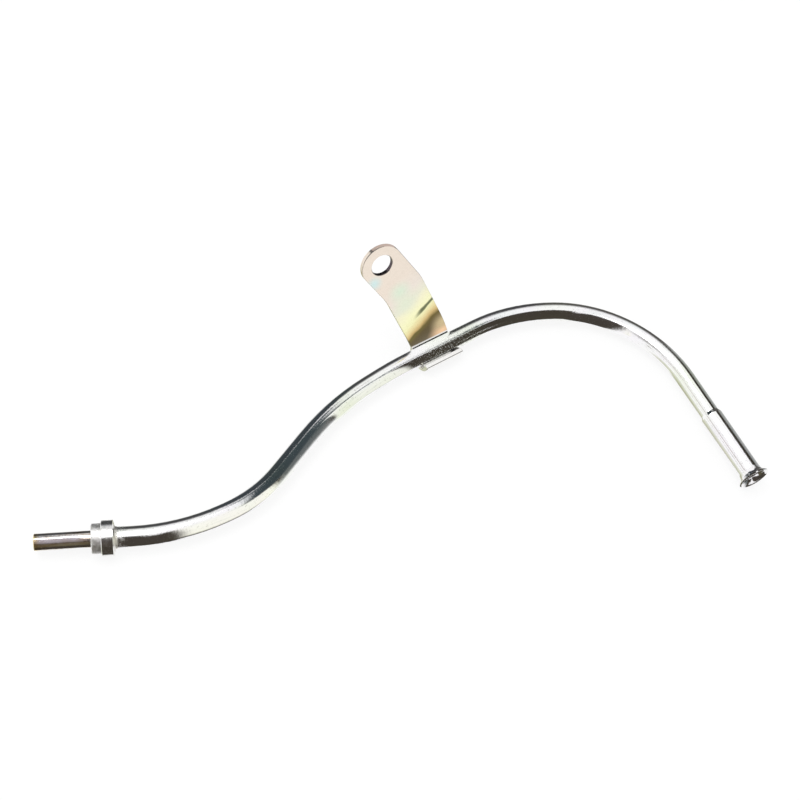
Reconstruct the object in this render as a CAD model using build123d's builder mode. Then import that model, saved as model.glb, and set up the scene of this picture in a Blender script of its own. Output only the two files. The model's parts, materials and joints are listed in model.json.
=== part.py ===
from build123d import *
from math import atan, cos, radians, sin, tan
import os

os.makedirs("parts", exist_ok=True)

# Engine oil dipstick guide tube, lying on a floor, in millimetres.
# The origin is on the spigot axis at the lower face of the seal collar.
# X runs from the spigot into the tube and Z is up.

# Tube stock and the bends, from the collar to the mouth.
# Each bend is the straight before it, the centre line radius and the turn, left positive.
tube_diameter = 10.0
tube_wall = 1.0
first_straight = 19.3
bends = [
    (0.0, 105.0, 23.5),
    (2.5, 70.0, 27.0),
    (25.0, 150.0, -18.0),
    (8.5, 200.0, -5.5),
    (42.5, 95.0, -29.0),
    (0.0, 70.0, -70.0),
]
last_straight = 66.9
bracket_straight = 4
bracket_distance = 16.9

# Reduced lower end that enters the engine block
spigot_diameter = 8.0
spigot_length = 26.0
spigot_edge = 0.3
swage_start = 0.3
swage_length = 1.0

# Expanded upper end that takes the dipstick cap
mouth_diameter = 11.6
mouth_length = 40.6
mouth_shoulder = 2.0
flare_length = 5.0
flare_turn = 68.0
lip_thickness = 1.0
lip_flat = 0.2

# Stepped seal collar
collar_diameter = 16.8
collar_length = 6.0
collar_step_diameter = 14.2
collar_step_length = 4.5
collar_edge = 0.4
collar_back_rise = 0.5
collar_back_depth = 1.6
collar_recess = 0.6

# Brazing
seat_gap = 0.05
braze_reach = 1.5
recess_fill = 0.5
braze_height = 1.1
bead_radius = 1.0
bead_sweep = 70.0

# Bracket strip, curled under the tube and rising on its far side
sheet = 2.5
strip_width = 22.0
curl_inner_radius = 5.5
strip_lean = 21.0
bend_start = 6.0
bend_radius = 45.0
bend_turn = 17.5
crank_distance = 27.8
crank_turn = 10.0
crank_round = 35.0
hole_distance = 23.0
hole_diameter = 11.5
sheet_edge = 0.25

# Derived sizes
tube_radius = tube_diameter / 2
bore_radius = tube_radius - tube_wall
spigot_radius = spigot_diameter / 2
mouth_radius = mouth_diameter / 2
collar_radius = collar_diameter / 2
curl_outer_radius = curl_inner_radius + sheet
far_leg = tube_radius + seat_gap
saddle_width = strip_width / cos(radians(strip_lean))

# Flat layout of the route, to find how far the bracket and the mouth lie from the spigot axis
with BuildLine() as flat_route:
    flat_run = Line((0, 0), (first_straight, 0))
    flat_runs = [flat_run]
    for straight, radius, turn in bends:
        if straight > 0:
            flat_run = Line(flat_run @ 1, flat_run @ 1 + straight * (flat_run % 1))
        flat_runs.append(flat_run)
        flat_run = JernArc(flat_run @ 1, flat_run % 1, radius, turn)
    flat_end = Line(flat_run @ 1, flat_run @ 1 + last_straight * (flat_run % 1))
bracket_line = flat_runs[bracket_straight + 1]
saddle_reach = bracket_distance + saddle_width / 2
saddle_far_y = (bracket_line @ 0 + saddle_reach * (bracket_line % 0)).Y

# The tube lies on the collar rim, the saddle and the mouth lip, so its plane dips a little.
rest_dip = atan((collar_radius - curl_outer_radius) / saddle_far_y)
lip_radius = collar_radius - (flat_end @ 1).Y * tan(rest_dip)
tube_plane = Plane(
    origin=(0, 0, 0),
    x_dir=(1, 0, 0),
    z_dir=(0, sin(rest_dip), cos(rest_dip)),
)

# Planes at the mouth and at the bracket
main_length = last_straight - mouth_length - mouth_shoulder
mouth_point = tube_plane.from_local_coords(flat_end @ 1)
mouth_direction = tube_plane.from_local_coords(flat_end @ 1 + flat_end % 1) - mouth_point
mouth_plane = Plane(origin=mouth_point, x_dir=mouth_direction, z_dir=tube_plane.z_dir)
bracket_flat_point = bracket_line @ 0 + bracket_distance * (bracket_line % 0)
bracket_point = tube_plane.from_local_coords(bracket_flat_point)
along = tube_plane.from_local_coords(bracket_flat_point + bracket_line % 0) - bracket_point
up = tube_plane.z_dir
away = up.cross(along)

# Guide tube
sleeve_back = -mouth_length
shoulder_back = -mouth_length - mouth_shoulder
flare_back = -flare_length
mouth_bore_radius = mouth_radius - tube_wall
flare_end = (cos(radians(flare_turn)), sin(radians(flare_turn)))
swage_end = swage_start + swage_length
with BuildPart() as guide_tube:
    with BuildLine(tube_plane) as route:
        run = Line((swage_end, 0), (first_straight, 0))
        for straight, radius, turn in bends:
            if straight > 0:
                run = Line(run @ 1, run @ 1 + straight * (run % 1))
            run = JernArc(run @ 1, run % 1, radius, turn)
        Line(run @ 1, run @ 1 + main_length * (run % 1))
    with BuildSketch(Plane(origin=(swage_end, 0, 0), z_dir=(1, 0, 0))):
        Circle(tube_radius)
        Circle(bore_radius, mode=Mode.SUBTRACT)
    sweep(path=route.wires()[0])
    with BuildSketch(tube_plane):
        with BuildLine():
            Polyline(
                (-spigot_length, spigot_radius - tube_wall),
                (-spigot_length, spigot_radius - spigot_edge),
                (spigot_edge - spigot_length, spigot_radius),
                (swage_start, spigot_radius),
                (swage_end, tube_radius),
                (swage_end, bore_radius),
                (swage_start, spigot_radius - tube_wall),
                close=True,
            )
        make_face()
    revolve(axis=Axis.X)
    with BuildSketch(mouth_plane):
        with BuildLine():
            Polyline(
                (flare_back, mouth_bore_radius),
                (sleeve_back, mouth_bore_radius),
                (shoulder_back, bore_radius),
                (shoulder_back, tube_radius),
                (sleeve_back, mouth_radius),
                (flare_back, mouth_radius),
            )
            outer_flare = Spline(
                (flare_back, mouth_radius),
                (-lip_thickness, lip_radius - lip_thickness / 2),
                tangents=[(1, 0), flare_end],
            )
            rim = Polyline(
                outer_flare @ 1,
                (-lip_thickness / 2, lip_radius),
                (0, lip_radius - lip_thickness / 2),
                (0, lip_radius - lip_thickness / 2 - lip_flat),
            )
            Spline(
                (flare_back, mouth_bore_radius),
                rim @ 1,
                tangents=[(1, 0), flare_end],
            )
        make_face()
    revolve(axis=Axis(mouth_point, mouth_direction))
guide_tube.part.label = "guide_tube"

# Seal collar, turned from bar and brazed to the tube
collar_face = collar_step_length + collar_length
collar_bore = tube_radius + seat_gap
with BuildPart() as seal_collar:
    with BuildSketch(tube_plane):
        with BuildLine():
            Polyline(
                (0, collar_bore + collar_recess),
                (0, collar_step_diameter / 2 - collar_edge),
                (collar_edge, collar_step_diameter / 2),
                (collar_step_length, collar_step_diameter / 2),
                (collar_step_length, collar_radius - collar_edge),
                (collar_step_length + collar_edge, collar_radius),
                (collar_face - collar_back_rise, collar_radius),
                (collar_face, collar_radius - collar_back_depth),
                (collar_face, collar_bore),
                (collar_recess, collar_bore),
                close=True,
            )
        make_face()
    revolve(axis=Axis.X)
seal_collar.part.label = "seal_collar"

# Braze rings: one beside the collar on the tube, one in the recess of its lower face
ring_back = collar_face + seat_gap
with BuildPart() as tube_side_braze:
    with BuildSketch(tube_plane):
        with BuildLine():
            Polyline(
                (ring_back, collar_bore),
                (ring_back, tube_radius + braze_height),
                (ring_back + braze_height / 3, tube_radius + braze_height / 3),
                (ring_back + braze_reach, collar_bore),
                close=True,
            )
        make_face()
    revolve(axis=Axis.X)
tube_side_braze.part.label = "tube_side_braze"

swage_rise = (tube_radius - spigot_radius) / swage_length
with BuildPart() as spigot_side_braze:
    with BuildSketch(tube_plane):
        with BuildLine():
            Polyline(
                (recess_fill, spigot_radius + (recess_fill - swage_start) * swage_rise + 2 * seat_gap),
                (recess_fill, collar_bore + collar_recess - recess_fill - 2 * seat_gap),
                (collar_recess, tube_radius),
                (swage_end - 2 * seat_gap, tube_radius),
                close=True,
            )
        make_face()
    revolve(axis=Axis.X)
spigot_side_braze.part.label = "spigot_side_braze"

# Directions of the leaning strip: across it, along it, and along its upper part
lean = radians(strip_lean)
across = cos(lean) * along + sin(lean) * up
rising = cos(lean) * up - sin(lean) * along
turned = radians(bend_turn)
upper_rising = cos(turned) * rising + sin(turned) * away
upper_face = sin(turned) * rising - cos(turned) * away
strip_foot = bracket_point + far_leg * away
bend_point = strip_foot + bend_start * rising
bend_centre = bend_point + bend_radius * away
upper_point = bend_centre + bend_radius * upper_face

# Flat outlines: the leg above the saddle, and the cranked upper plate with its round end
half = strip_width / 2
foot = half * tan(lean)
crank = radians(crank_turn)
miter = half * tan(crank / 2)
hole_x = -hole_distance * sin(crank)
hole_y = crank_distance + hole_distance * cos(crank)
end_x = half * cos(crank)
end_y = half * sin(crank)

# Bracket: the curl under the tube, the leg above it, a bend and the upper plate with the bolt hole
leg_plane = Plane(origin=strip_foot + sheet * away, x_dir=across, z_dir=-away)
upper_plane = Plane(origin=upper_point, x_dir=across, z_dir=upper_face)
curl_x = far_leg - curl_inner_radius
with BuildPart() as bracket_curl:
    with BuildSketch(Plane(bracket_point, x_dir=away, z_dir=along)):
        with BuildLine():
            near_lip = Line(
                (curl_x - curl_inner_radius, 0),
                (curl_x - curl_outer_radius, 0),
            )
            ThreePointArc(
                near_lip @ 1,
                (curl_x, -curl_outer_radius),
                (curl_x + curl_outer_radius, 0),
            )
            Line(
                (curl_x + curl_outer_radius, 0),
                (curl_x + curl_inner_radius, 0),
            )
            ThreePointArc(
                (curl_x + curl_inner_radius, 0),
                (curl_x, -curl_inner_radius),
                near_lip @ 0,
            )
        make_face()
    extrude(amount=saddle_width / 2, both=True)
    leg_joint = faces().sort_by(Axis(bracket_point, up))[-2:].sort_by(Axis(bracket_point, away))[-1]
    chamfer(edges() - leg_joint.edges(), length=sheet_edge)

with BuildPart() as bracket_leg:
    with BuildSketch(leg_plane):
        with BuildLine():
            Polyline(
                (-half, foot),
                (-half, bend_start),
                (half, bend_start),
                (half, -foot),
                close=True,
            )
        make_face()
    extrude(amount=sheet)
    chamfer(edges().filter_by(Axis(bracket_point, rising)), length=sheet_edge)

with BuildPart() as bracket_bend:
    with BuildSketch(Plane(bend_point, x_dir=across, z_dir=rising)):
        with Locations((0, sheet / 2)):
            strip_section = Rectangle(strip_width, sheet)
        chamfer(strip_section.vertices(), length=sheet_edge)
    revolve(axis=Axis(bend_centre, -across), revolution_arc=bend_turn)

with BuildPart() as bracket_plate:
    with BuildSketch(upper_plane.offset(-sheet)):
        with BuildLine():
            Polyline(
                (-half, 0),
                (-half, crank_distance - miter),
                (hole_x - end_x, hole_y - end_y),
                (hole_x + end_x, hole_y + end_y),
                (half, crank_distance + miter),
                (half, 0),
                close=True,
            )
        make_face()
        crank_corners = vertices().filter_by(
            lambda corner: abs(abs(corner.X) - half) < 0.01 and corner.Y > miter
        )
        fillet(crank_corners, radius=crank_round)
        with Locations((hole_x, hole_y)):
            Circle(half)
            Circle(hole_diameter / 2, mode=Mode.SUBTRACT)
    extrude(amount=sheet)
    plate_rims = faces().filter_by(Axis(upper_point, upper_face)).edges()
    chamfer(
        plate_rims.filter_by(lambda rim: (rim.center() - upper_point).dot(upper_rising) > miter),
        length=sheet_edge,
    )

with BuildPart() as bracket:
    add(bracket_curl.part)
    add(bracket_leg.part)
    add(bracket_bend.part)
    add(bracket_plate.part)
bracket.part.label = "bracket"

# Braze beads where the two ends of the saddle meet the tube on its near side
bead_ring = tube_radius + seat_gap + bead_radius / 2
bead_places = {"lower": -saddle_width / 2, "upper": saddle_width / 2}
beads = {}
for name, distance in bead_places.items():
    bead_centre = bracket_point + distance * along
    bead_start = cos(radians(bead_sweep / 2)) * away + sin(radians(bead_sweep / 2)) * up
    with BuildPart() as bead:
        with BuildSketch(Plane(bead_centre, x_dir=-bead_start, z_dir=along.cross(-bead_start))):
            with Locations((bead_ring, 0)):
                Circle(bead_radius)
        revolve(axis=Axis(bead_centre, along), revolution_arc=bead_sweep)
        with BuildSketch(Plane(bead_centre - bead_radius * 2 * along, z_dir=along)):
            Circle(tube_radius + seat_gap)
        extrude(amount=bead_radius * 4, mode=Mode.SUBTRACT)
        add(bracket.part, mode=Mode.SUBTRACT)
    bead.part.label = name + "_saddle_braze"
    beads[name] = bead

export_step(guide_tube.part, "parts/guide_tube.step")
export_step(seal_collar.part, "parts/seal_collar.step")
export_step(tube_side_braze.part, "parts/tube_side_braze.step")
export_step(spigot_side_braze.part, "parts/spigot_side_braze.step")
export_step(bracket.part, "parts/bracket.step")
for name, bead in beads.items():
    export_step(bead.part, "parts/" + name + "_saddle_braze.step")
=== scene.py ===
import json
from math import cos, radians, sin, tan

import bpy
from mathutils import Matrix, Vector


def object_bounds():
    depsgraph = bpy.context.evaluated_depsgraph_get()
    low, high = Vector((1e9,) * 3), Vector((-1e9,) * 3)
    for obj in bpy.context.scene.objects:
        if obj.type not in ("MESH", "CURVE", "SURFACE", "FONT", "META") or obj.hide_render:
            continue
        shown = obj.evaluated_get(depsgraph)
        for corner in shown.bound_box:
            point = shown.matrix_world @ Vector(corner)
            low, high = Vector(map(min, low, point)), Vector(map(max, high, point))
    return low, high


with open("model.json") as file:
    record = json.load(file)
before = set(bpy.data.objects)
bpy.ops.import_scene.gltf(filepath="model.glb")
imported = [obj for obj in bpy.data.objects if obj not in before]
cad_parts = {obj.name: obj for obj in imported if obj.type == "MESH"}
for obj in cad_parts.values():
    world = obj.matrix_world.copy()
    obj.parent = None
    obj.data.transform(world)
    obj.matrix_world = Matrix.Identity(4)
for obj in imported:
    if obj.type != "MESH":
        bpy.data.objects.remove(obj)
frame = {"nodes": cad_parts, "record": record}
cad_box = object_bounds()
nodes = frame["nodes"]
mounts = {mount["name"]: mount for mount in frame["record"]["mounts"]}
scene = bpy.context.scene
bpy.ops.object.select_all(action="DESELECT")

# Places in metres, with X along the spigot and Z up
floor_height = cad_box[0][2]
spigot_end = cad_box[0][0]
collar_step = 0.0045
collar_back = 0.0105
bracket_seat = (0.182, 0.100, 0.0)
object_centre = Vector((0.16, 0.06, 0.0))

# Colours that are used more than once
white = (1.0, 1.0, 1.0)
black_cloth = (0.032, 0.029, 0.020)
grey_cloth = (0.42, 0.41, 0.40)
rose_cloth = (0.62, 0.57, 0.55)
tip_grey = (0.62, 0.55, 0.55)
curl_white = (0.8, 0.8, 0.78)


# Node helpers

def start_material(name):
    material = bpy.data.materials.new(name)
    material.use_nodes = True
    material.node_tree.nodes.clear()
    return material, material.node_tree


def add_node(tree, kind, **values):
    node = tree.nodes.new(kind)
    for key, value in values.items():
        setattr(node, key, value)
    return node


def set_inputs(node, **values):
    for key, value in values.items():
        node.inputs[key].default_value = value
    return node


def object_place(tree):
    return add_node(tree, "ShaderNodeTexCoord").outputs["Object"]


def split(tree, place):
    parts = add_node(tree, "ShaderNodeSeparateXYZ")
    tree.links.new(place, parts.inputs[0])
    return parts.outputs


def stretched(tree, place, scale):
    mapping = set_inputs(add_node(tree, "ShaderNodeMapping"), Scale=scale)
    tree.links.new(place, mapping.inputs["Vector"])
    return mapping.outputs["Vector"]


def noise(tree, place, scale, detail, roughness):
    texture = set_inputs(
        add_node(tree, "ShaderNodeTexNoise"), Scale=scale, Detail=detail, Roughness=roughness
    )
    tree.links.new(place, texture.inputs["Vector"])
    return texture.outputs["Fac"]


def colour_ramp(tree, source, stops):
    ramp = add_node(tree, "ShaderNodeValToRGB")
    elements = ramp.color_ramp.elements
    while len(elements) < len(stops):
        elements.new(0.5)
    for element, (place, colour) in zip(elements, stops):
        element.position = place
        element.color = (*colour, 1.0)
    tree.links.new(source, ramp.inputs["Fac"])
    return ramp.outputs["Color"]


def map_value(tree, source, low_in, high_in, low_out, high_out, smooth=False):
    mapper = add_node(tree, "ShaderNodeMapRange")
    if smooth:
        mapper.interpolation_type = "SMOOTHSTEP"
    for index, value in enumerate((low_in, high_in, low_out, high_out), start=1):
        mapper.inputs[index].default_value = value
    tree.links.new(source, mapper.inputs["Value"])
    return mapper.outputs["Result"]


def calculate(tree, operation, first, second):
    """A math node on two sockets."""
    result = add_node(tree, "ShaderNodeMath", operation=operation)
    tree.links.new(first, result.inputs[0])
    tree.links.new(second, result.inputs[1])
    return result.outputs[0]


def stripe(tree, source, start, full, fade, end):
    """1 from full to fade and 0 before start and after end, with soft steps between."""
    rise = map_value(tree, source, start, full, 0.0, 1.0, smooth=True)
    fall = map_value(tree, source, fade, end, 1.0, 0.0, smooth=True)
    return calculate(tree, "MULTIPLY", rise, fall)


def spot(tree, place, centre, radius):
    """A soft round patch, 1 at its centre."""
    offset = add_node(tree, "ShaderNodeVectorMath", operation="DISTANCE")
    tree.links.new(place, offset.inputs[0])
    offset.inputs[1].default_value = centre
    return map_value(tree, offset.outputs["Value"], 0.0, radius, 1.0, 0.0, smooth=True)


def along_line(tree, place, direction):
    dot = add_node(tree, "ShaderNodeVectorMath", operation="DOT_PRODUCT")
    tree.links.new(place, dot.inputs[0])
    dot.inputs[1].default_value = direction
    return dot.outputs["Value"]


def from_axis(tree, place, point, direction):
    """Distance from an axis, which is given by a point and a unit direction."""
    offset = add_node(tree, "ShaderNodeVectorMath", operation="SUBTRACT")
    tree.links.new(place, offset.inputs[0])
    offset.inputs[1].default_value = point
    across = add_node(tree, "ShaderNodeVectorMath", operation="CROSS_PRODUCT")
    tree.links.new(offset.outputs[0], across.inputs[0])
    across.inputs[1].default_value = direction
    reach = add_node(tree, "ShaderNodeVectorMath", operation="LENGTH")
    tree.links.new(across.outputs[0], reach.inputs[0])
    return reach.outputs["Value"]


def mix_colour(tree, share, first, second):
    """Mix two colours, each a socket or a tuple."""
    mixer = add_node(tree, "ShaderNodeMix", data_type="RGBA")
    tree.links.new(share, mixer.inputs[0])
    for socket, colour in ((mixer.inputs[6], first), (mixer.inputs[7], second)):
        if isinstance(colour, tuple):
            socket.default_value = (*colour, 1.0)
        else:
            tree.links.new(colour, socket)
    return mixer.outputs[2]


def multiply_colour(tree, first, second, amount):
    mixer = add_node(tree, "ShaderNodeMix", data_type="RGBA", blend_type="MULTIPLY")
    mixer.inputs[0].default_value = amount
    tree.links.new(first, mixer.inputs[6])
    tree.links.new(second, mixer.inputs[7])
    return mixer.outputs[2]


def mix_value(tree, share, first, second):
    mixer = add_node(tree, "ShaderNodeMix")
    tree.links.new(share, mixer.inputs[0])
    tree.links.new(first, mixer.inputs[2])
    tree.links.new(second, mixer.inputs[3])
    return mixer.outputs[0]


def join_shaders(tree, share, first, second):
    """Mix two shaders into the material's surface."""
    mixer = add_node(tree, "ShaderNodeMixShader")
    tree.links.new(share, mixer.inputs[0])
    tree.links.new(first.outputs[0], mixer.inputs[1])
    tree.links.new(second.outputs[0], mixer.inputs[2])
    output = add_node(tree, "ShaderNodeOutputMaterial")
    tree.links.new(mixer.outputs[0], output.inputs["Surface"])


def finish_metal(tree, colour, roughness, bump_source, bump_strength, bump_distance):
    shader = set_inputs(add_node(tree, "ShaderNodeBsdfPrincipled"), Metallic=1.0)
    tree.links.new(colour, shader.inputs["Base Color"])
    tree.links.new(roughness, shader.inputs["Roughness"])
    bump = set_inputs(
        add_node(tree, "ShaderNodeBump"), Strength=bump_strength, Distance=bump_distance
    )
    tree.links.new(bump_source, bump.inputs["Height"])
    tree.links.new(bump.outputs["Normal"], shader.inputs["Normal"])
    output = add_node(tree, "ShaderNodeOutputMaterial")
    tree.links.new(shader.outputs["BSDF"], output.inputs["Surface"])


# Finishes

def bright_zinc():
    material, tree = start_material("bright_zinc")
    place = object_place(tree)
    along = split(tree, place)["X"]
    film = colour_ramp(
        tree,
        noise(tree, place, 22.0, 2.0, 0.5),
        [
            (0.30, (0.90, 0.93, 0.84)),
            (0.46, (0.96, 0.96, 0.95)),
            (0.58, (0.95, 0.93, 0.96)),
            (0.72, (0.91, 0.95, 0.94)),
        ],
    )
    drawing_lines = colour_ramp(
        tree,
        noise(tree, stretched(tree, place, (60.0, 60.0, 1500.0)), 1.0, 3.0, 0.6),
        [(0.30, (0.84, 0.87, 0.86)), (0.50, white)],
    )
    specks = colour_ramp(
        tree,
        noise(tree, place, 900.0, 4.0, 0.7),
        [(0.32, (0.50, 0.50, 0.46)), (0.43, white)],
    )
    colour = multiply_colour(tree, film, drawing_lines, 0.6)
    colour = multiply_colour(tree, colour, specks, 0.5)
    roughness = map_value(tree, noise(tree, place, 260.0, 4.0, 0.6), 0.3, 0.7, 0.06, 0.15)

    # The spigot is duller and tarnished brown, with a golden end
    tarnish = colour_ramp(
        tree,
        noise(tree, stretched(tree, place, (0.35, 1.0, 1.0)), 330.0, 3.0, 0.6),
        [
            (0.34, (0.66, 0.56, 0.46)),
            (0.46, (0.84, 0.78, 0.74)),
            (0.58, (0.94, 0.92, 0.94)),
        ],
    )
    golden_end = map_value(
        tree, along, spigot_end + 0.0004, spigot_end + 0.0035, 1.0, 0.0, smooth=True
    )
    tarnish = mix_colour(tree, golden_end, tarnish, (0.86, 0.70, 0.42))
    on_spigot = map_value(tree, along, 0.0, 0.0005, 1.0, 0.0)
    colour = mix_colour(tree, on_spigot, colour, tarnish)
    dull = map_value(tree, noise(tree, place, 300.0, 3.0, 0.6), 0.35, 0.65, 0.09, 0.15)
    roughness = mix_value(tree, on_spigot, roughness, dull)

    # Heat has dulled the tube beside the collar, and specks of it lie at the bracket
    near_collar = stripe(
        tree, along, collar_back - 0.0005, collar_back, collar_back + 0.0030, collar_back + 0.0070
    )
    mottle = map_value(tree, noise(tree, place, 800.0, 4.0, 0.7), 0.38, 0.62, 0.16, 0.5)
    roughness = mix_value(tree, near_collar, roughness, mottle)
    near_bracket = spot(tree, place, bracket_seat, 0.040)
    spatter = map_value(tree, noise(tree, place, 1100.0, 3.0, 0.7), 0.50, 0.60, 0.08, 0.55)
    roughness = mix_value(tree, near_bracket, roughness, spatter)
    finish_metal(tree, colour, roughness, noise(tree, place, 900.0, 3.0, 0.5), 0.12, 0.0002)
    return material


def turned_steel():
    material, tree = start_material("turned_steel")
    place = object_place(tree)
    along = split(tree, place)["X"]
    colour = colour_ramp(
        tree,
        noise(tree, place, 420.0, 4.0, 0.65),
        [(0.32, (0.66, 0.66, 0.62)), (0.56, (0.94, 0.93, 0.93))],
    )
    roughness = map_value(tree, noise(tree, place, 500.0, 3.0, 0.6), 0.3, 0.7, 0.15, 0.26)
    small_ring = map_value(tree, along, collar_step - 0.0005, collar_step + 0.0003, 1.0, 0.0)
    dull = map_value(tree, noise(tree, place, 600.0, 4.0, 0.7), 0.35, 0.65, 0.36, 0.62)
    roughness = mix_value(tree, small_ring, roughness, dull)
    turning_lines = noise(tree, stretched(tree, place, (2600.0, 30.0, 30.0)), 1.0, 2.0, 0.5)
    finish_metal(tree, colour, roughness, turning_lines, 0.10, 0.0002)
    return material


def plated_braze():
    material, tree = start_material("plated_braze")
    place = object_place(tree)
    colour = colour_ramp(
        tree,
        noise(tree, place, 500.0, 4.0, 0.6),
        [(0.30, (0.78, 0.75, 0.68)), (0.60, (0.98, 0.97, 0.95))],
    )
    roughness = map_value(tree, noise(tree, place, 700.0, 3.0, 0.6), 0.3, 0.7, 0.34, 0.58)
    finish_metal(tree, colour, roughness, noise(tree, place, 1200.0, 3.0, 0.6), 0.5, 0.0003)
    return material


def yellow_zinc():
    material, tree = start_material("yellow_zinc")
    place = object_place(tree)

    # The film's yellow tone and painted reflections of the bend, dark brown towards the foot, run in
    # bands that cross the strip on a slope, and wander a little
    strip_across = Vector((0.94, 0.348, 0.0))
    band_slope = 0.76
    band_rise = Vector((0.0, 0.0, 1.0)) - band_slope * strip_across
    first_band = -0.1397
    band_reach = 0.05
    across = along_line(tree, place, strip_across)
    wander = map_value(tree, noise(tree, place, 90.0, 2.0, 0.5), 0.3, 0.7, -0.0012, 0.0012)
    rise = calculate(tree, "ADD", along_line(tree, place, band_rise), wander)
    level = map_value(tree, rise, first_band, first_band + band_reach, 0.0, 1.0)
    film_tone_and_painted_reflections = colour_ramp(
        tree,
        level,
        [
            (0.03, (0.12, 0.09, 0.04)),
            (0.11, (0.17, 0.13, 0.045)),
            (0.17, (0.66, 0.48, 0.21)),
            (0.23, (0.84, 0.72, 0.38)),
            (0.30, (0.92, 0.90, 0.52)),
            (0.40, (0.96, 0.95, 0.60)),
            (0.52, (0.93, 0.90, 0.64)),
            (0.60, (0.84, 0.83, 0.68)),
            (0.76, (0.86, 0.78, 0.70)),
            (1.00, (0.86, 0.76, 0.66)),
        ],
    )

    # Painted reflections: a dark green line on the right and an olive one on the left; and five tinted
    # patches of the film
    painted_green_reflection = stripe(tree, level, 0.296, 0.326, 0.352, 0.386)
    right_half = map_value(tree, across, 0.1905, 0.1960, 0.0, 1.0, smooth=True)
    green_reflection_share = calculate(tree, "MULTIPLY", painted_green_reflection, right_half)
    colour = mix_colour(tree, green_reflection_share, film_tone_and_painted_reflections, (0.17, 0.19, 0.10))
    painted_olive_reflection = stripe(tree, level, 0.070, 0.100, 0.112, 0.150)
    left_part = map_value(tree, across, 0.1930, 0.2000, 1.0, 0.0, smooth=True)
    olive_reflection_share = calculate(tree, "MULTIPLY", painted_olive_reflection, left_part)
    colour = mix_colour(tree, olive_reflection_share, colour, (0.16, 0.13, 0.04))
    for centre, radius, tint in (
        ((0.1410, 0.1048, 0.0520), 0.0058, (0.66, 0.83, 0.82)),
        ((0.1554, 0.1070, 0.0422), 0.0085, (0.74, 0.84, 0.68)),
        ((0.1590, 0.1055, 0.0340), 0.0100, (0.79, 0.84, 0.67)),
        ((0.1830, 0.1090, 0.0060), 0.0110, (0.95, 0.62, 0.36)),
        ((0.1820, 0.1085, 0.0140), 0.0095, (0.62, 0.50, 0.28)),
    ):
        colour = mix_colour(tree, spot(tree, place, centre, radius), colour, tint)

    # The curl below the tube is plain silver, and the wall of the hole is painted dark, standing in
    # for its shade and dark reflection
    curl = map_value(tree, split(tree, place)["Z"], 0.0030, 0.0042, 1.0, 0.0)
    colour = mix_colour(tree, curl, colour, (0.93, 0.92, 0.90))
    hole = mounts["bracket_hole"]
    hole_radius = hole["dims"]["r_mm"] / 1000.0
    from_hole = from_axis(tree, place, hole["pos_m"], hole["axis"])
    painted_dark_hole_wall = map_value(
        tree, from_hole, hole_radius + 0.00005, hole_radius + 0.00011, 1.0, 0.0
    )
    colour = mix_colour(tree, painted_dark_hole_wall, colour, (0.10, 0.08, 0.09))

    grain = colour_ramp(
        tree,
        noise(tree, place, 700.0, 4.0, 0.6),
        [(0.30, (0.88, 0.87, 0.85)), (0.55, white)],
    )
    colour = multiply_colour(tree, colour, grain, 0.3)
    roughness = map_value(tree, noise(tree, place, 400.0, 3.0, 0.6), 0.3, 0.7, 0.16, 0.26)
    finish_metal(tree, colour, roughness, noise(tree, place, 900.0, 3.0, 0.5), 0.08, 0.0002)
    return material


def dress(node_name, material):
    piece = nodes[node_name]
    piece.data.materials.clear()
    piece.data.materials.append(material)


braze_finish = plated_braze()
dress("guide_tube", bright_zinc())
dress("seal_collar", turned_steel())
dress("bracket", yellow_zinc())
for braze_name in ("tube_side_braze", "spigot_side_braze", "lower_saddle_braze", "upper_saddle_braze"):
    dress(braze_name, braze_finish)


# Floor

def white_floor():
    """Paper that keeps the part's shadow, and is seen as near to white."""
    material, tree = start_material("white_floor")
    paper = set_inputs(add_node(tree, "ShaderNodeBsdfDiffuse"), Color=(0.82, 0.82, 0.82, 1.0))
    glow = set_inputs(add_node(tree, "ShaderNodeEmission"), Color=(*white, 1.0), Strength=1.0)
    rays = add_node(tree, "ShaderNodeLightPath").outputs
    seen = calculate(tree, "MAXIMUM", rays["Is Camera Ray"], rays["Is Glossy Ray"])
    seen = calculate(tree, "MAXIMUM", seen, rays["Is Transmission Ray"])
    glow_share = map_value(tree, seen, 0.0, 1.0, 0.0, 0.85)
    join_shaders(tree, glow_share, paper, glow)
    return material


bpy.ops.mesh.primitive_plane_add(size=40.0, location=(object_centre.x, object_centre.y, floor_height))
floor = bpy.context.object
floor.name = "studio_floor"
floor.data.materials.append(white_floor())
floor.visible_glossy = False


# Reflection cards: dark flags and pale boards that only the polished metal shows

def card_material(name, low_colour, high_colour, soft_sides, soft_low, soft_high):
    """A plain glow from one colour to the other, which fades out towards the card's edges."""
    material, tree = start_material(name)
    place = split(tree, add_node(tree, "ShaderNodeTexCoord").outputs["UV"])
    paint = colour_ramp(tree, place["Y"], [(0.0, low_colour), (1.0, high_colour)])
    clear = add_node(tree, "ShaderNodeBsdfTransparent")
    cloth = add_node(tree, "ShaderNodeEmission")
    tree.links.new(paint, cloth.inputs["Color"])
    sides = stripe(tree, place["X"], 0.0, soft_sides, 1.0 - soft_sides, 1.0)
    ends = stripe(tree, place["Y"], 0.0, soft_low, 1.0 - soft_high, 1.0)
    join_shaders(tree, calculate(tree, "MULTIPLY", sides, ends), clear, cloth)
    return material


def add_card(name, corners, low_colour, high_colour, soft_sides, soft_low, soft_high):
    """A card on four corners. The last three values are the shares of it that fade out."""
    bpy.ops.mesh.primitive_plane_add(size=2.0)
    card = bpy.context.object
    card.name = name
    for vertex, corner in zip(card.data.vertices, corners):
        vertex.co = corner
    card.data.materials.append(
        card_material(name, low_colour, high_colour, soft_sides, soft_low, soft_high)
    )
    card.visible_camera = False
    card.visible_diffuse = False
    card.visible_transmission = False
    card.visible_shadow = False


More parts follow.
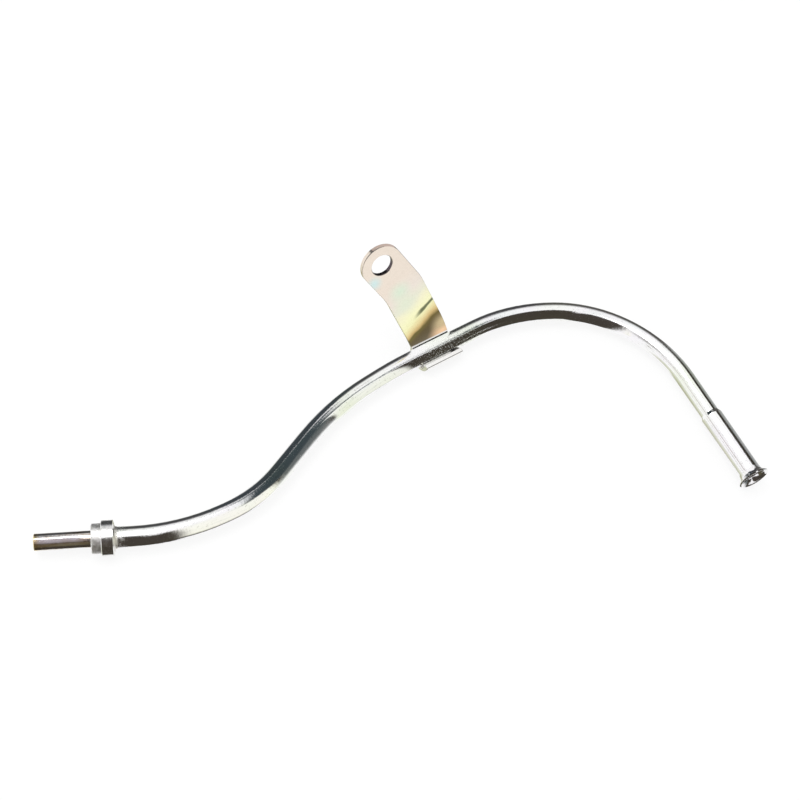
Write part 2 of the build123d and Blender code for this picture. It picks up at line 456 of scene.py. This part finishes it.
def upright(azimuth, half_width, low, high, lean=0.0, distance=6.0, aim=object_centre):
    """Corners of a card that stands upright, by the angles in degrees at which aim sees it."""
    out = Vector((cos(radians(azimuth)), sin(radians(azimuth)), 0.0))
    side = Vector((-out.y, out.x, 0.0))
    corners = []
    for elevation in (low, high):
        height = tan(radians(elevation))
        for hand in (-1.0, 1.0):
            across = hand * tan(radians(half_width)) + lean * height
            corners.append(aim + distance * (out + across * side + Vector((0.0, 0.0, height))))
    return corners


def facing(centre, across, up):
    """Corners of a card given by its centre and its two half sides."""
    centre, across, up = Vector(centre), Vector(across), Vector(up)
    return [centre - across - up, centre + across - up, centre - across + up, centre + across + up]


# Large cards, 5 to 8 metres away
add_card("front_left_flag", upright(-102.0, 26.0, -76.0, 67.5, lean=-0.10),
         (0.055, 0.050, 0.036), (0.060, 0.050, 0.045), 0.14, 0.05, 0.10)
add_card("front_right_flag", upright(-58.0, 40.4, -57.0, 67.5, lean=0.25, distance=5.9),
         (0.060, 0.054, 0.040), (0.050, 0.041, 0.034), 0.04, 0.06, 0.08)
add_card("right_flag", upright(7.0, 27.0, -34.0, 65.0, lean=0.20, distance=5.8),
         (0.19, 0.20, 0.20), (0.040, 0.060, 0.064), 0.06, 0.28, 0.10)
add_card("right_board", upright(38.0, 13.0, -46.0, 24.0, distance=5.75),
         (0.75, 0.76, 0.76), (0.17, 0.18, 0.17), 0.25, 0.25, 0.12)
add_card("right_top_flag", upright(40.0, 13.0, 15.0, 53.0, distance=5.7),
         black_cloth, black_cloth, 0.2, 0.2, 0.25)
add_card("back_right_flag", upright(62.0, 20.0, -50.0, 45.0, distance=5.65),
         (0.17, 0.165, 0.155), (0.040, 0.037, 0.033), 0.13, 0.38, 0.30)
add_card("back_flag", upright(88.0, 18.0, -46.0, 44.0, distance=5.6),
         (0.10, 0.10, 0.10), (0.030, 0.030, 0.034), 0.15, 0.34, 0.34)
add_card("back_left_flag", upright(116.0, 19.0, -42.0, 58.0, distance=5.5),
         (0.06, 0.07, 0.075), (0.026, 0.036, 0.044), 0.10, 0.28, 0.10)
add_card("low_back_board", upright(112.0, 60.0, -72.0, -46.0, distance=5.4),
         (0.44, 0.44, 0.30), (0.52, 0.52, 0.38), 0.2, 0.3, 0.3)
add_card("low_left_board", upright(175.0, 30.0, -62.0, -14.0, distance=5.4),
         (0.50, 0.52, 0.36), (0.84, 0.85, 0.74), 0.3, 0.2, 0.3)
add_card("left_rail", upright(176.0, 26.0, 13.0, 25.0, distance=5.35),
         rose_cloth, rose_cloth, 0.25, 0.4, 0.4)
add_card("upper_left_board", upright(-150.0, 22.0, 24.0, 52.0, distance=5.4),
         grey_cloth, grey_cloth, 0.4, 0.4, 0.4)

# Small cards close to the part, each placed for the stretch or the piece beside it
add_card("first_bend_board",
         upright(-47.5, 41.0, -50.0, 76.0, distance=0.1, aim=Vector((0.064, 0.012, 0.0))),
         (1.0, 1.0, 0.86), (1.0, 1.0, 0.98), 0.16, 0.16, 0.2)
add_card("steep_run_flag",
         facing((0.1201, 0.0786, 0.1061), (-0.0391, -0.0228, 0.0163), (-0.0433, 0.0985, 0.0341)),
         (0.045, 0.058, 0.066), (0.045, 0.065, 0.07), 0.20, 0.12, 0.15)
add_card("second_bend_board",
         [(0.1245, 0.0560, -0.0040), (0.1700, 0.0879, -0.0040),
          (0.1275, 0.0581, 0.0340), (0.1600, 0.0809, 0.0340)],
         (0.88, 0.90, 0.78), white, 0.10, 0.05, 0.1)
add_card("bracket_board",
         [(0.1645, 0.0991, 0.0014), (0.1884, 0.1113, 0.0014),
          (0.1250, 0.0850, 0.0740), (0.1680, 0.1000, 0.0740)],
         white, white, 0.05, 0.01, 0.05)
add_card("tip_board",
         facing((0.1556, 0.1143, 0.0764), (-0.0012, 0.0100, 0.0), (-0.0036, -0.0004, 0.0070)),
         (0.62, 0.55, 0.56), (0.70, 0.64, 0.64), 0.1, 0.1, 0.1)
add_card("tip_back_board",
         facing((0.1430, 0.1210, 0.0710), (0.0115, 0.0, 0.0), (0.0, 0.0, 0.0070)),
         tip_grey, tip_grey, 0.05, 0.05, 0.05)
add_card("mouth_front_board",
         facing((0.3405, 0.0030, 0.0030), (0.0018, 0.0008, 0.0), (-0.0022, -0.0010, 0.0110)),
         white, white, 0.1, 0.1, 0.1)
add_card("flare_board",
         facing((0.3275, 0.0210, 0.0125), (0.0055, 0.0018, 0.0), (0.0, 0.0, 0.0035)),
         white, white, 0.1, 0.1, 0.1)
add_card("mouth_left_flag",
         facing((0.3290, 0.0078, -0.0112), (0.0058, -0.0070, 0.0), (-0.0045, -0.0038, 0.0068)),
         (0.07, 0.065, 0.04), (0.10, 0.09, 0.06), 0.1, 0.1, 0.1)
add_card("curl_board",
         facing((0.1780, 0.0982, -0.0054), (0.0107, 0.0055, 0.0), (0.0, 0.0, 0.0011)),
         curl_white, curl_white, 0.05, 0.05, 0.05)
add_card("spigot_board",
         facing((-0.0200, -0.0350, 0.050), (0.0165, 0.0, 0.0), (0.0, 0.0470, 0.0)),
         (0.22, 0.19, 0.19), (0.50, 0.46, 0.50), 0.12, 0.35, 0.10)
add_card("spigot_front_board",
         facing((-0.0200, -0.0830, 0.0180), (0.0165, 0.0, 0.0), (0.0, 0.0, 0.0430)),
         (0.13, 0.11, 0.06), (0.15, 0.12, 0.09), 0.12, 0.10, 0.20)

# Studio light: a white world and one softbox overhead
world = bpy.data.worlds.new("white_tent")
world.use_nodes = True
set_inputs(world.node_tree.nodes["Background"], Color=(*white, 1.0), Strength=1.0)
scene.world = world

softbox_place = Vector((-0.3, 0.1, 1.5))
bpy.ops.object.light_add(type="AREA", location=softbox_place)
softbox = bpy.context.object
softbox.name = "top_softbox"
softbox.rotation_euler = (softbox_place - object_centre).to_track_quat("Z", "Y").to_euler()
softbox.visible_camera = False
softbox.data.shape = "SQUARE"
softbox.data.size = 0.9
softbox.data.energy = 12.0

# Camera at the photograph's place
bpy.ops.object.camera_add(location=(0.0400, -0.29045, 0.55380))
camera = bpy.context.object
camera.name = "photo_camera"
camera.rotation_euler = (radians(33.685), radians(-6.908), radians(-7.612))
camera.data.lens = 58.5
camera.data.sensor_width = 36.0
camera.data.clip_start = 0.01
camera.data.shift_x = -0.000625
camera.data.shift_y = 0.000625
scene.camera = camera

scene.view_settings.view_transform = "Standard"
